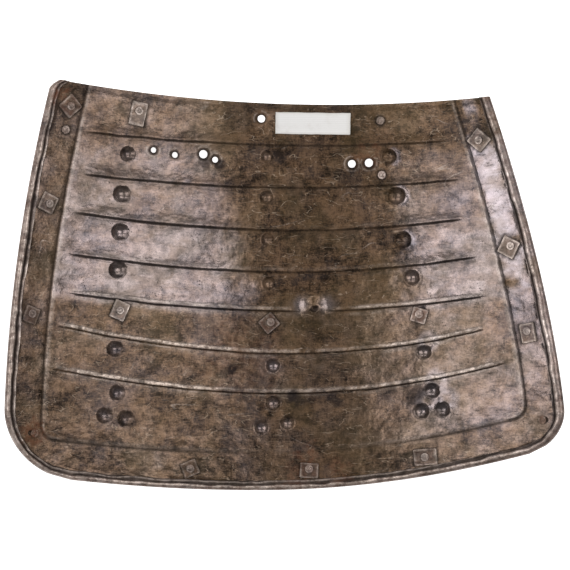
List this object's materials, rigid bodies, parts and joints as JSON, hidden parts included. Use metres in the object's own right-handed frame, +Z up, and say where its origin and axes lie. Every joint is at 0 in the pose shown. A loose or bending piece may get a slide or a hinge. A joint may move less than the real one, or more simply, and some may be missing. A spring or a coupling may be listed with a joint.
{
  "type": "tasset",
  "caption": "Broad one-piece steel tasset embossed to look like narrow lames, shown hollow side up, with turned edges, mock rivets, real rivets on square washers and a bare paper label.",
  "frame": {"origin": "on the surface it rests on, below the middle of its box", "axes": "+X across to the side that is right when the hollow is seen with the hanging edge up, +Y towards the edge that hangs from the breastplate, +Z up out of the hollow"},
  "size_m": [0.3488, 0.2604, 0.0542],
  "materials": {
    "plate_steel": "old dark brown patina, waxed, worn bright on edges",
    "rivet_iron": "hammered, worn",
    "washer_iron": "hand-cut, brown patina",
    "label_paper": "matt aged paper"
  },
  "bodies": {
    "root": {"plate": "plate_steel", "rivet_left_1": "rivet_iron", "rivet_left_2": "rivet_iron", "rivet_left_3": "rivet_iron", "rivet_right_1": "rivet_iron", "rivet_right_2": "rivet_iron", "rivet_right_3": "rivet_iron", "rivet_top_left": "rivet_iron", "rivet_middle_1": "rivet_iron", "rivet_middle_2": "rivet_iron", "rivet_middle_3": "rivet_iron", "rivet_low_1": "rivet_iron", "rivet_low_2": "rivet_iron", "rivet_low_3": "rivet_iron", "rivet_left_plug": "rivet_iron", "rivet_left_4": "rivet_iron", "rivet_right_4": "rivet_iron", "rivet_top_right": "rivet_iron", "rivet_strap_plug": "rivet_iron", "washer_left_1": "washer_iron", "washer_left_2": "washer_iron", "washer_left_3": "washer_iron", "washer_right_1": "washer_iron", "washer_right_2": "washer_iron", "washer_right_3": "washer_iron", "washer_top_left": "washer_iron", "washer_middle_1": "washer_iron", "washer_middle_2": "washer_iron", "washer_middle_3": "washer_iron", "washer_low_1": "washer_iron", "washer_low_2": "washer_iron", "washer_low_3": "washer_iron", "paper_label": "label_paper"}
  },
  "joints": []
}
